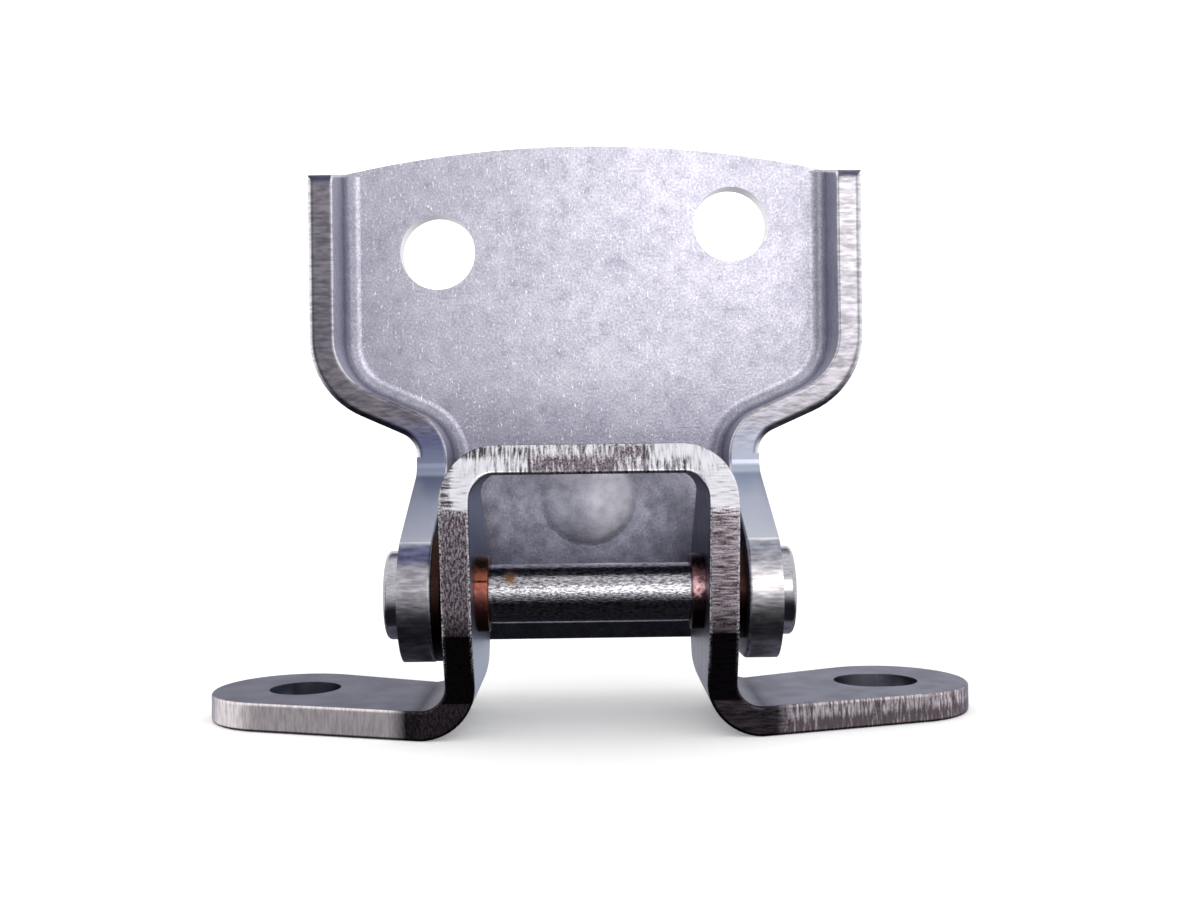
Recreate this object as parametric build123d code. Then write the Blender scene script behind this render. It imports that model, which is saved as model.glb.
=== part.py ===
from build123d import *
import os
from math import asin, cos, degrees, hypot, radians, sqrt, tan

# A car door hinge, in millimetres: a pillar bracket bent from one strip, a door plate stamped from one
# sheet, and the riveted pin that joins them. X runs along the pin, Z up from the underside of the
# bracket's feet. Depths are along Y, measured from the pin axis, positive towards the door plate.

# Pin and its two flattened heads
pin_d = 8.6
pin_height = 20.0
head_rim = 2.25
head_t = 2.45
head_round = 0.7
head_dish_rim = 1.5
head_dish_depth = 0.4

# Bushes, rolled from bronze strip, with the radial clearance in which the pin turns
pin_clearance = 0.03
bush_wall = 0.75
bush_collar_rim = 0.55
bush_collar_t = 1.9
bush_collar_round = 0.3
bush_split = 0.35
left_split_angle = 24.0
right_split_angle = -8.0

# Thrust washers between the bracket's legs and the door plate's ears
washer_t = 1.1
washer_play = 0.25
washer_clearance = 0.1
left_washer_d = 19.6
right_washer_d = 14.0

# Pillar bracket: strip, bends, legs
strip_t = 4.3
bracket_height = 42.0
leg_half_width = 20.95
leg_lean = 1.0
bar_bend_in = 3.4
foot_bend_in = 3.7
strip_edge_round = 0.45

# Pillar bracket: outline of the strip seen from the side
bar_front = -6.5
leg_front = -11.5
foot_front = -8.4
brow_drop = 9.0
knee_height = 15.3
knee_end_rise = 1.0
bar_back = 8.0
leg_back = 22.0
foot_back = 15.5
bar_back_drop = 4.5
leg_back_rise = 2.4
leg_back_fall = 7.5
back_round = 5.0

# Pillar bracket: feet, swept back, with a round hole in one and a slot in the other
foot_reach = 59.2
foot_tip_r = 13.0
foot_tip_depth = 12.0
foot_hole_d = 11.0
foot_hole_inset = 14.4
foot_hole_depth = 11.2
foot_slot_travel = 2.0

# Door plate: sheet, bends, arms and ears
plate_t = 4.2
flange_t = 4.1
arm_t = 4.9
plate_bend_in = 2.4
swing_gap = 2.9
flange_depth = 12.0
arm_brow = 37.7
arm_brow_round = 2.6
ear_r = 9.9
ear_crease = 5.6
plate_bottom = 9.1
bevel_height = 2.9
bevel_depth = 1.5
flange_edge_round = 1.1
flange_top_round = 1.5
inner_edge_round = 0.5

# Door plate: outline seen from the front
plate_half_width = 44.4
plate_top = 92.5
top_arc_r = 187.0
shoulder_slope = 24.0
neck_height = 43.0
shoulder_r = 13.6
neck_r = 4.0

# Door plate: bolt holes and the round boss pressed out of the sheet
plate_hole_d = 12.6
left_hole_x = -25.0
left_hole_z = 74.8
right_hole_x = 24.6
right_hole_z = 79.1
boss_z = 33.2
boss_r = 8.0
boss_rise = 0.5
boss_round = 4.0

# Radii, faces and places that follow from the sizes above
pin_r = pin_d / 2
bush_bore_r = pin_r + pin_clearance
bush_r = bush_bore_r + bush_wall
collar_r = bush_r + bush_collar_rim
head_r = pin_r + head_rim
lean = tan(radians(leg_lean))
leg_wall = strip_t / cos(radians(leg_lean))
bar_rise = bracket_height - pin_height
washer_reach = max(left_washer_d, right_washer_d) / 2
arm_in = leg_half_width + washer_reach * lean + washer_play + washer_t
arm_out = arm_in + arm_t
plate_front = max(hypot(bar_back, bar_rise), leg_back) + swing_gap
plate_back = plate_front + plate_t
flange_front = plate_front - flange_depth
fold_x = plate_half_width - flange_t
foot_hole_x = foot_reach - foot_hole_inset
leaf_reach = max(plate_back, -leg_front, ear_r) * 2
part_reach = foot_reach + plate_top
touching = 1e-3
facing = 0.3

# The frame's origin is under the middle of the hinge, so the pin lies towards the front of it
pin_depth = -(plate_back + min(leg_front, -ear_r)) / 2


def leg_out_at(z):
    """X of a leg's outer face at height z."""
    return leg_half_width + (z - pin_height) * lean


def leg_in_at(z):
    """X of a leg's inner face at height z."""
    return leg_out_at(z) - leg_wall


def shoulder_at(x):
    """Height of the door plate's sloping shoulder at distance x from the middle."""
    return neck_height + (x - arm_out) * tan(radians(shoulder_slope))


def crown_at(x):
    """Height of the door plate's arched top edge at distance x from the middle."""
    return plate_top - top_arc_r + sqrt(top_arc_r**2 - x**2)


def both_sides(half_points):
    """A closed outline's points from those of its right half, listed from top to bottom."""
    return half_points + [(-x, z) for x, z in reversed(half_points)]


def on_front(face, near, far):
    """Extrude a face drawn in X and Z between two depths."""
    return extrude(Plane.XZ.offset(-near) * face, near - far)


def on_side(face):
    """Extrude a face drawn in Y and Z across the whole width."""
    return extrude(Plane.YZ * face, part_reach, both=True)


def along_pin(radius, start, end):
    """A round bar on the pin axis between two X values."""
    bar = Cylinder(radius, end - start)
    return Pos((start + end) / 2, 0, pin_height) * Rot(0, 90, 0) * bar


def bracket_strip():
    """The strip's bent section, full depth: feet, legs and top bar."""
    bar_low = bracket_height - strip_t
    blank_end = foot_reach + strip_t
    half = [
        (0, bracket_height),
        (leg_out_at(bracket_height), bracket_height),
        (leg_out_at(strip_t), strip_t),
        (blank_end, strip_t),
        (blank_end, 0),
        (leg_in_at(0), 0),
        (leg_in_at(bar_low), bar_low),
        (0, bar_low),
    ]
    radii = [bar_bend_in + strip_t, foot_bend_in, 0, 0, foot_bend_in + strip_t, bar_bend_in]
    section = make_face(FilletPolyline(*half, half[0], radius=[0] + radii + [0]))
    right = on_front(section, -leaf_reach, leaf_reach)
    return right + mirror(right, about=Plane.YZ)


def bracket_side():
    """Outline of the bracket's top bar and legs, seen along the pin."""
    over = bracket_height + strip_t
    leg_back_low = pin_height - leg_back_fall
    points = [
        (bar_front, over),
        (bar_front, bracket_height),
        (leg_front, bracket_height - brow_drop),
        (leg_front, knee_height),
        (foot_front, strip_t + knee_end_rise),
        (foot_front, -strip_t),
        (foot_back, -strip_t),
        (foot_back, strip_t),
        (leg_back, leg_back_low),
        (leg_back, pin_height + leg_back_rise),
        (bar_back, bracket_height - bar_back_drop),
        (bar_back, over),
    ]
    back_radii = [0, back_round / 2, back_round, back_round]
    radii = [0] * 7 + back_radii + [0]
    return make_face(FilletPolyline(*points, points[0], radius=radii))


def foot_root():
    """X at which the foot's flat begins, past the bend."""
    turn = radians(90 + leg_lean)
    return leg_in_at(0) + (foot_bend_in + strip_t) * tan(turn / 2)


def foot_plan():
    """Outline of the right foot, seen from above: a strap swept back to a round end."""
    near = Vector(foot_root(), foot_front)
    far = Vector(foot_root(), foot_back)
    middle = Vector(foot_reach - foot_tip_r, foot_tip_depth)
    near_end = tangent_point(near, middle, foot_tip_r, -1)
    far_end = tangent_point(far, middle, foot_tip_r, 1)
    sides = Polyline(far_end, far, near, near_end)
    tip = ThreePointArc(near_end, (foot_reach, foot_tip_depth), far_end)
    return make_face([*sides.edges(), tip.edge()])


def tangent_point(start, middle, radius, side):
    """Where a line from start touches a circle, passing its middle on the given side."""
    away = (middle - start).length
    reach = sqrt(away**2 - radius**2)
    turn = degrees(asin(radius / away)) * side
    return start + (middle - start).normalized().rotate(Axis.Z, turn) * reach


def is_broad(face):
    """Whether a face is one of the strip's broad faces, flat or bent, which never turn towards Y."""
    return all(abs(face.normal_at(u, 0.5).Y) < facing / 2 for u in (0.2, 0.5, 0.8))


def rim_edges(leaf):
    """Edges along which the strip's broad faces meet its cut edges."""
    broad = [e for face in leaf.faces() if is_broad(face) for e in face.edges()]
    cut = [e for face in leaf.faces() if not is_broad(face) for e in face.edges()]
    return [e for e in cut if e in broad]


def body_leaf():
    """Pillar bracket, cut to its outline, with pin holes and bolt holes."""
    foot = extrude(foot_plan(), strip_t)
    middle = Box(2 * foot_root(), 2 * leaf_reach, 2 * bracket_height + strip_t)
    keep = (on_side(bracket_side()) & middle) + foot + mirror(foot, about=Plane.YZ)
    leaf = bracket_strip() & keep
    leaf = fillet([e for e in rim_edges(leaf) if e.center().Y < 0], strip_edge_round)
    hole = Pos(-foot_hole_x, foot_hole_depth) * Circle(foot_hole_d / 2)
    slot = Pos(foot_hole_x, foot_hole_depth) * SlotCenterToCenter(foot_slot_travel, foot_hole_d)
    leaf -= extrude(hole + slot, strip_t * 2, both=True)
    return leaf - along_pin(bush_r, -foot_reach, foot_reach)


def bush(split_angle):
    """Right-hand flanged bush, its collar against the leg's sloping inner face, split along one side."""
    collar_start = leg_in_at(pin_height) - bush_collar_t
    collar = along_pin(collar_r, collar_start, leg_out_at(pin_height))
    collar = fillet(collar.edges().filter_by(GeomType.CIRCLE).sort_by(Axis.X)[0], bush_collar_round)
    seat = Polygon(
        (leg_in_at(0), 0),
        (leg_in_at(bracket_height), bracket_height),
        (foot_reach, bracket_height),
        (foot_reach, 0),
        align=None,
    )
    collar -= on_front(make_face(seat.edges()), -leaf_reach, leaf_reach)
    barrel = along_pin(bush_r, leg_in_at(pin_height), leg_out_at(pin_height - bush_r))
    shell = collar + barrel - along_pin(bush_bore_r, 0, foot_reach)
    slit = Pos(0, -collar_r, 0) * Box(2 * foot_reach, 2 * collar_r, bush_split)
    return shell - Pos(0, 0, pin_height) * Rot(-split_angle, 0, 0) * slit


def washer(diameter):
    """Right-hand thrust washer, lying against the ear's inner face."""
    disc = along_pin(diameter / 2, arm_in - washer_t, arm_in)
    return disc - along_pin(pin_r + washer_clearance, 0, arm_out)


def hinge_pin():
    """Pin with a flattened, slightly dished head at each end."""
    head = along_pin(head_r, arm_out, arm_out + head_t)
    rims = head.edges().filter_by(GeomType.CIRCLE).sort_by(Axis.X)
    head = fillet(rims[-1], head_round)
    end = arm_out + head_t
    dish = Cone(head_r - head_dish_rim, head_r - head_dish_rim - head_dish_depth, head_dish_depth)
    head -= Pos(end - head_dish_depth / 2, 0, pin_height) * Rot(0, -90, 0) * dish
    return along_pin(pin_r, -arm_out, arm_out) + head + mirror(head, about=Plane.YZ)


def leaf_contour(side, arm, raise_by, top, bottom, shoulder_arc, neck_arc):
    """Front outline of the door plate, or of the hollow between its flanges."""
    half = [
        (side, top),
        (side, shoulder_at(side) + raise_by),
        (arm, shoulder_at(arm) + raise_by),
        (arm, bottom),
    ]
    half_radii = [0, shoulder_arc, neck_arc, 0]
    points = both_sides(half)
    return make_face(FilletPolyline(*points, points[0], radius=half_radii + half_radii[::-1]))


def side_edges(shape, depth):
    """Edges of the door plate that lie at one depth, along its two sides."""
    flat = [e for e in shape.edges() if abs((e @ 0).Y - depth) + abs((e @ 1).Y - depth) < touching]
    return [e for e in flat if abs(e.center().X) > arm_in / 2]


def leaf_side():
    """Outline of the flanges, arms and ears, seen along the pin."""
    over = plate_top + plate_t
    behind = plate_back + plate_t
    fold_z = crown_at(fold_x)
    flange_top = fold_z - flange_depth * fold_x / sqrt(top_arc_r**2 - fold_x**2)
    brow = (flange_front, arm_brow)
    chin = (plate_front, plate_bottom)
    ear_top = (-ear_crease, pin_height + sqrt(ear_r**2 - ear_crease**2))
    ear_bottom = (0, pin_height - ear_r)
    flange = [(flange_front, flange_top), (plate_front, fold_z), (plate_front, over), (behind, over)]
    points = [ear_top, brow, *flange, (behind, plate_bottom), chin, ear_bottom]
    corners = [arm_brow_round, flange_top_round]
    edge = FilletPolyline(*points, radius=corners + [0] * (len(points) - 2 - len(corners)))
    ear = ThreePointArc(ear_bottom, (-ear_r, pin_height), ear_top)
    return make_face([*edge.edges(), ear.edge()])


def leaf_blank(contour):
    """Blank of the door plate: the flanged part, its outer rim rounded, and the arms that reach past it."""
    tray = on_front(contour, flange_front, plate_back)
    tray = fillet(side_edges(tray, flange_front), flange_edge_round)
    arm_top = arm_brow + arm_brow_round
    below = Pos(0, 0, arm_top - part_reach) * Box(2 * part_reach, 4 * leaf_reach, 2 * part_reach)
    return tray + (on_front(contour, -leaf_reach, plate_back) & below)


def inner_rim(leaf, hollow):
    """Edges in which the front of the flanges, arms and ears meets the hollow between them."""
    front = [f for f in leaf.faces() if f.normal_at().Y < -facing]
    cut = [f for f in front if f.center().Y < plate_front - plate_bend_in]
    return [e for f in cut for e in f.edges() if hollow.distance_to(e @ 0.5) < touching]


def bottom_bevel():
    """Wedge pressed off the plate's lower front edge, between the arms."""
    under = plate_bottom - plate_t
    wedge = Polyline(
        (plate_front, plate_bottom + bevel_height),
        (plate_front + bevel_depth, plate_bottom),
        (plate_front + bevel_depth, under),
        (plate_front - bevel_depth, under),
        close=True,
    )
    return extrude(Plane.YZ * make_face(wedge), arm_in, both=True)


def crown():
    """Region under the arched top edge, level past the folds."""
    ends = [(part_reach, crown_at(fold_x)), (part_reach, -plate_top)]
    level = [(-x, z) for x, z in ends]
    edge = Polyline((fold_x, crown_at(fold_x)), *ends, *level[::-1], (-fold_x, crown_at(fold_x)))
    arch = ThreePointArc(edge @ 1, (0, plate_top), edge @ 0)
    return make_face([*edge.edges(), arch.edge()])


def boss():
    """Ball and inner ball of the round boss, on the plate's middle line."""
    ball_r = (boss_r**2 + boss_rise**2) / (2 * boss_rise)
    place = Pos(0, plate_front - boss_rise + ball_r, boss_z)
    return place * Sphere(ball_r), place * Sphere(ball_r - plate_t)


def door_leaf():
    """Door plate: flanged sheet with arms, ears, bolt holes and boss."""
    over = plate_top + plate_t
    rise = flange_t / cos(radians(shoulder_slope))
    outer = leaf_contour(plate_half_width, arm_out, 0, over, 0, shoulder_r, neck_r)
    inner = leaf_contour(
        plate_half_width - flange_t,
        arm_in,
        rise,
        over + plate_t,
        -plate_t,
        shoulder_r - flange_t,
        neck_r + flange_t,
    )
    hollow = on_front(inner, -leaf_reach, plate_front)
    leaf = leaf_blank(outer) - hollow
    leaf = fillet(side_edges(leaf, plate_front), plate_bend_in)
    leaf = fillet(side_edges(leaf, plate_back), plate_bend_in + plate_t)
    leaf &= on_side(leaf_side())
    leaf &= on_front(crown(), -leaf_reach, leaf_reach)
    leaf = fillet(inner_rim(leaf, hollow), inner_edge_round)
    leaf -= bottom_bevel()
    ball, dent = boss()
    leaf += ball & on_front(Pos(0, boss_z) * Circle(2 * boss_r), 0, plate_front + plate_t / 2)
    foot = leaf.edges().filter_by(GeomType.CIRCLE).sort_by_distance((0, plate_front, boss_z + boss_r))[0]
    leaf = fillet(foot, boss_round)
    leaf -= dent
    left = Pos(left_hole_x, left_hole_z) * Circle(plate_hole_d / 2)
    right = Pos(right_hole_x, right_hole_z) * Circle(plate_hole_d / 2)
    leaf -= on_front(left + right, plate_front - plate_t, plate_back + plate_t)
    return leaf - along_pin(pin_r, -part_reach, part_reach)


def write(node, shape):
    """Place a piece in the hinge's frame and write it."""
    export_step(Pos(0, pin_depth, 0) * shape, f"parts/{node}.step")


os.makedirs("parts", exist_ok=True)
write("body_leaf", body_leaf())
write("left_bush", mirror(bush(left_split_angle), about=Plane.YZ))
write("right_bush", bush(right_split_angle))
write("left_washer", mirror(washer(left_washer_d), about=Plane.YZ))
write("right_washer", washer(right_washer_d))
write("hinge_pin", hinge_pin())
write("door_leaf", door_leaf())
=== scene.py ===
"""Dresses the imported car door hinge: zinc-plated leaves, bright pin, bronze bushes, soft white studio."""

import logging
import math
from dataclasses import dataclass, field
from enum import Enum
from functools import cached_property
from typing import Any, Mapping, Optional, Sequence, Tuple

import bpy
from mathutils import Matrix, Vector

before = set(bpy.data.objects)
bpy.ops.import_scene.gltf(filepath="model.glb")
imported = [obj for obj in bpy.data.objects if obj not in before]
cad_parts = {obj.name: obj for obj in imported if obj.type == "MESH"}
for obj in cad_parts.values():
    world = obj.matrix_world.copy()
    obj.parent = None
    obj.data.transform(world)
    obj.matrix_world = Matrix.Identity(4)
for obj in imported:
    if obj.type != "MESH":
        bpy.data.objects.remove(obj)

Colour = Tuple[float, float, float, float]
Pair = Tuple[float, float]
Ends = Tuple[Pair, Pair]
Point = Tuple[float, float, float]
Stops = Sequence[Tuple[float, str]]
Tree = bpy.types.NodeTree
Shade = bpy.types.Node
Sockets = Sequence[bpy.types.NodeSocket]

LOG = logging.getLogger("hinge")
MM = 0.001
FULL: Pair = (0.0, 1.0)
RANGE_ENDS = ("From Min", "From Max", "To Min", "To Max")


class Kind(str, Enum):
    """Kinds of shader node that the finishes and the sky use."""

    COORD = "ShaderNodeTexCoord"
    SPLIT = "ShaderNodeSeparateXYZ"
    MAPPING = "ShaderNodeMapping"
    MATH = "ShaderNodeMath"
    LENGTH = "ShaderNodeVectorMath"
    NOISE = "ShaderNodeTexNoise"
    RAMP = "ShaderNodeValToRGB"
    RANGE = "ShaderNodeMapRange"
    MIX = "ShaderNodeMix"
    BUMP = "ShaderNodeBump"
    SURFACE = "ShaderNodeBsdfPrincipled"
    SKY = "ShaderNodeBackground"
    OUTPUT = "ShaderNodeOutputMaterial"
    SKY_OUTPUT = "ShaderNodeOutputWorld"


class Body(str, Enum):
    """The hinge's two rigid bodies."""

    BRACKET = "bracket"
    DOOR = "door"


def linear(code: str) -> Colour:
    """Turn an sRGB hex colour into Blender's linear RGBA.

    Args:
        code: a hash and six hex digits.

    Returns:
        Linear red, green and blue, and an alpha of one.
    """
    parts = [int(code[i:i + 2], 16) / 255 for i in (1, 3, 5)]
    return tuple(v / 12.92 if v <= 0.04045 else ((v + 0.055) / 1.055) ** 2.4 for v in parts) + (1.0,)


def per_mm(width: float) -> float:
    """Texture scale that draws a pattern this many millimetres wide."""
    return 1.0 / (width * MM)


def metres(sizes: Sequence[float]) -> Tuple[float, ...]:
    """Turn sizes in millimetres into Blender's metres."""
    return tuple(size * MM for size in sizes)


def moved_to(place: Point) -> Tuple[float, ...]:
    """Mapping location that brings a place, in millimetres, to the origin."""
    return tuple(-size for size in metres(place))


def add(
    tree: Tree, kind: Kind, links: Optional[Mapping[Any, Any]] = None, stops: Stops = (), **settings: Any
) -> Shade:
    """Add one node with its settings and links.

    Args:
        tree: the node tree to add to.
        kind: the node's kind.
        links: input name or number to the node or socket that feeds it, or to the value that it takes.
            Ends stands for the four inputs of a range: two values, and the two that they are brought to.
        stops: places and hex colours of a colour ramp.
        settings: properties of the node.

    Returns:
        The new node.
    """
    node = tree.nodes.new(kind.value)
    for name, value in settings.items():
        setattr(node, name, value)
    for place, code in stops:
        node.color_ramp.elements.new(place).color = linear(code)
    if stops:
        node.color_ramp.elements.remove(node.color_ramp.elements[-1])
        node.color_ramp.elements.remove(node.color_ramp.elements[0])
    fed = dict(links or {})
    if "Ends" in fed:
        fed.update(zip(RANGE_ENDS, sum(fed.pop("Ends"), ())))
    inputs = [socket for socket in node.inputs if socket.enabled]
    for name, value in fed.items():
        socket = inputs[name] if isinstance(name, int) else next(s for s in inputs if s.name == name)
        if isinstance(value, Shade):
            value = next(s for s in value.outputs if s.enabled)
        if isinstance(value, bpy.types.NodeSocket):
            tree.links.new(value, socket)
        else:
            socket.default_value = value
    return node


@dataclass(frozen=True)
class Spot:
    """The point that a finish draws, in the object's own space, so patterns move with the object."""

    tree: Tree
    coord: Shade

    @property
    def point(self) -> bpy.types.NodeSocket:
        """The point itself."""
        return self.coord.outputs["Object"]

    @cached_property
    def at(self) -> Sockets:
        """The point's x, y and z."""
        return add(self.tree, Kind.SPLIT, {0: self.point}).outputs

    @cached_property
    def turn(self) -> Sockets:
        """The x, y and z of the surface's normal there."""
        return add(self.tree, Kind.SPLIT, {0: self.coord.outputs["Normal"]}).outputs


@dataclass(frozen=True)
class Finish:
    """A named metal finish."""

    name: str

    def build(self) -> bpy.types.Material:
        """Make the material.

        Returns:
            The finished material.
        """
        material = bpy.data.materials.new(self.name)
        material.use_nodes = True
        tree = material.node_tree
        tree.nodes.clear()
        spot = Spot(tree, add(tree, Kind.COORD))
        surface = add(tree, Kind.SURFACE, self.sockets(spot))
        add(tree, Kind.OUTPUT, {"Surface": surface})
        return material

    def sockets(self, spot: Spot) -> Mapping[str, Any]:
        """Draw the finish's patterns.

        Args:
            spot: the point that is drawn.

        Returns:
            What each input of the surface takes.
        """
        raise NotImplementedError


@dataclass(frozen=True)
class ZincSheet(Finish):
    """Zinc-plated cold-rolled sheet, barrel plated with a clear blue passivation.

    It gives the eye a pale lavender grey, faintly cloudy, with fine crystals, short painted glints and a
    few handling scratches. Painted shade darkens its front low down, behind the pin, and just above the
    bracket's bar. A painted highlight lies on the boss, and burnishing with painted highlight on the bolt
    holes' walls and the rolled edges. The sheared edges are darker and browner, painted darker on the left
    and lighter on the right, with bands of painted highlight and of dark blue painted shade up them, and
    smooth on the arms.
    Levels are shares of height_mm, and turns are parts of the surface's normal.
    """

    skin: Stops = ((0.38, "#A3A3B2"), (0.50, "#B5B4C3"), (0.62, "#C8C7D2"))
    # Painted shade on the front faces: darker low down behind the pin, and in a band just above the bracket's
    # bar.
    shade: Stops = (
        (0.24, "#D0D2DC"), (0.31, "#FCFDFF"), (0.36, "#FFFFFF"), (0.43, "#DADADF"), (0.54, "#FFFFFF"),
    )
    smudge: str = "#858596"
    # Painted glints.
    glint: str = "#FBFBFE"
    # Burnishing with painted highlight, on the bolt holes' walls and the rolled edges.
    burnish_and_highlight: str = "#F6F6FA"
    # Painted highlight on the boss.
    boss_highlight: str = "#F2F2FC"
    # Sheared edge colours up the height, with painted light and shade: the left darker, the right lighter, a
    # painted highlight at the crease and on the arms, and dark blue painted shade at the ears' tops, the
    # arms' tops and the flanges' tops.
    left_edge_light_and_shade: Stops = (
        (0.10, "#9C98A0"), (0.245, "#AFACB5"), (0.258, "#5D6182"), (0.276, "#6E728C"), (0.282, "#E4E6EE"),
        (0.290, "#D6DCE8"), (0.335, "#D0D8E6"), (0.378, "#9098AF"), (0.43, "#6C7194"), (0.47, "#7F7A83"),
        (0.62, "#7A7680"), (0.838, "#827E88"), (0.848, "#4C4C62"),
    )
    right_edge_light_and_shade: Stops = (
        (0.10, "#B4B0B6"), (0.235, "#E0DDE2"), (0.258, "#A9A8B3"), (0.276, "#9B9DAC"), (0.282, "#F6F8FC"),
        (0.290, "#F1F7FF"), (0.335, "#EDF3FF"), (0.378, "#B6BED0"), (0.43, "#AFB3C5"), (0.47, "#B6B3BC"),
        (0.62, "#C2C0C9"), (0.838, "#C8C6CE"), (0.848, "#6C6C80"),
    )
    height_mm: float = 100.0
    cloud_mm: float = 12.0
    patch_mm: float = 2.0
    crystal_mm: float = 0.4   # real crystals are a tenth of this, and too fine to show
    layer_shares: Point = (0.14, 0.28, 0.58)
    smudged: Ends = ((0.36, 0.24), (0.0, 0.35))
    scratch_mm: float = 0.25
    scratch_turn: Point = (0.0, 0.35, 0.0)
    scratch_stretch: Point = (0.03, 1.0, 1.0)
    scratched: Ends = ((0.70, 0.76), (0.0, 0.5))
    worn_levels: Ends = ((0.42, 0.36), FULL)
    worn_patches: Ends = ((0.35, 0.65), (0.87, 1.13))
    front_turns: Ends = ((-0.3, -0.8), FULL)
    boss_at_mm: Point = (0.0, 16.0, 33.2)
    boss_mm: Pair = (8.0, 6.8)
    boss_patches: Ends = ((0.3, 0.6), (0.6, 1.0))
    ridge_mm: Pair = (-0.8, 0.8)
    ridge_light: Pair = (0.4, 1.0)
    glint_mm: float = 0.32
    glint_turns: Point = (0.9, -0.5, 1.6)
    glint_stretch: Point = (1.0, 1.0, 0.35)
    glint_from: Ends = ((0.71, 0.79), (0.0, 0.7))
    glint_levels: Ends = ((0.28, 0.42), (0.25, 1.0))
    glint_relief: float = 0.5
    holes_at_mm: Tuple[Point, Point] = ((-25.0, 0.0, 74.8), (24.6, 0.0, 79.1))
    hole_mm: float = 6.6
    wall_turns: Ends = ((0.4, 0.2), FULL)
    tooth_mm: float = 0.5
    tooth_stretch: Point = (0.25, 0.25, 1.0)
    smooth_tooth: float = 0.53
    flange_levels: Ends = ((0.40, 0.46), FULL)
    ear_levels: Ends = ((0.285, 0.275), FULL)
    flecks: Ends = ((0.35, 0.65), (0.62, 1.2))
    edge_from_mm: Pair = (14.0, 12.5)
    cut_turns: Ends = ((0.6, 0.3), FULL)
    rolled_turns: Ends = ((-0.1, -0.35), FULL)
    notches: Ends = ((0.40, 0.55), (0.35, 1.0))
    relief_share: float = 0.4
    relief_mm: float = 0.05
    rough: Ends = ((0.4, 0.6), (0.37, 0.33))

    def sockets(self, spot: Spot) -> Mapping[str, Any]:
        """Draw clouds, crystals, painted glints and scratches on the skin, painted light and shade, and the
        sheared edge.

        Args:
            spot: the point that is drawn.

        Returns:
            What each input of the surface takes.
        """
        tree = spot.tree
        level = add(tree, Kind.MATH, {0: spot.at[2], 1: self.height_mm * MM}, operation="DIVIDE")
        patch = add(tree, Kind.NOISE, {"Vector": spot.point, "Scale": per_mm(self.patch_mm), "Detail": 4.0})
        links = {"Vector": spot.point, "Scale": per_mm(self.crystal_mm), "Detail": 3.0}
        crystal = add(tree, Kind.NOISE, links)
        tone = self.draw_tone(spot, patch, crystal)
        glint = self.draw_glints(spot, level)
        tooth = self.draw_teeth(spot, level)
        near = add(tree, Kind.RANGE, {"Value": spot.at[1], "Ends": (metres(self.edge_from_mm), FULL)})
        cut = self.draw_cut(spot, near)
        skin = self.draw_skin(spot, level, patch, tone)
        # Painted light on the skin: a highlight on the boss, glints, and burnishing with painted highlight on
        # the bolt holes' walls and the rolled edges.
        layers = (
            (self.draw_boss(spot, patch), self.boss_highlight),
            (glint, self.glint),
            (self.draw_hole_walls(spot), self.burnish_and_highlight),
            (self.draw_rolled_edge(spot, near, tooth), self.burnish_and_highlight),
        )
        for mask, code in layers:
            skin = add(tree, Kind.MIX, {0: mask, "A": skin, "B": linear(code)}, data_type="RGBA")
        bare = self.draw_bare(spot, level, tooth)
        colour = add(tree, Kind.MIX, {0: cut, "A": skin, "B": bare}, data_type="RGBA")
        relief = add(tree, Kind.MIX, {0: cut, "A": crystal, "B": tooth})
        relief = add(tree, Kind.MATH, {0: glint, 1: self.glint_relief, 2: relief}, operation="MULTIPLY_ADD")
        links = {"Height": relief, "Strength": self.relief_share, "Distance": self.relief_mm * MM}
        bump = add(tree, Kind.BUMP, links)
        rough = add(tree, Kind.RANGE, {"Value": tone, "Ends": self.rough})
        return {"Base Color": colour, "Metallic": 1.0, "Roughness": rough, "Normal": bump}

    def draw_tone(self, spot: Spot, patch: Shade, crystal: Shade) -> Shade:
        """Add up clouds, patches and crystals, each by its share.

        Args:
            spot: the point that is drawn.
            patch: noise of the patches.
            crystal: noise of the crystals.

        Returns:
            The node that gives the tone.
        """
        links = {"Vector": spot.point, "Scale": per_mm(self.cloud_mm), "Detail": 3.0}
        cloud = add(spot.tree, Kind.NOISE, links)
        tone = 0.0
        for layer, share in zip((cloud, patch, crystal), self.layer_shares):
            tone = add(spot.tree, Kind.MATH, {0: layer, 1: share, 2: tone}, operation="MULTIPLY_ADD")
        return tone

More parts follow.
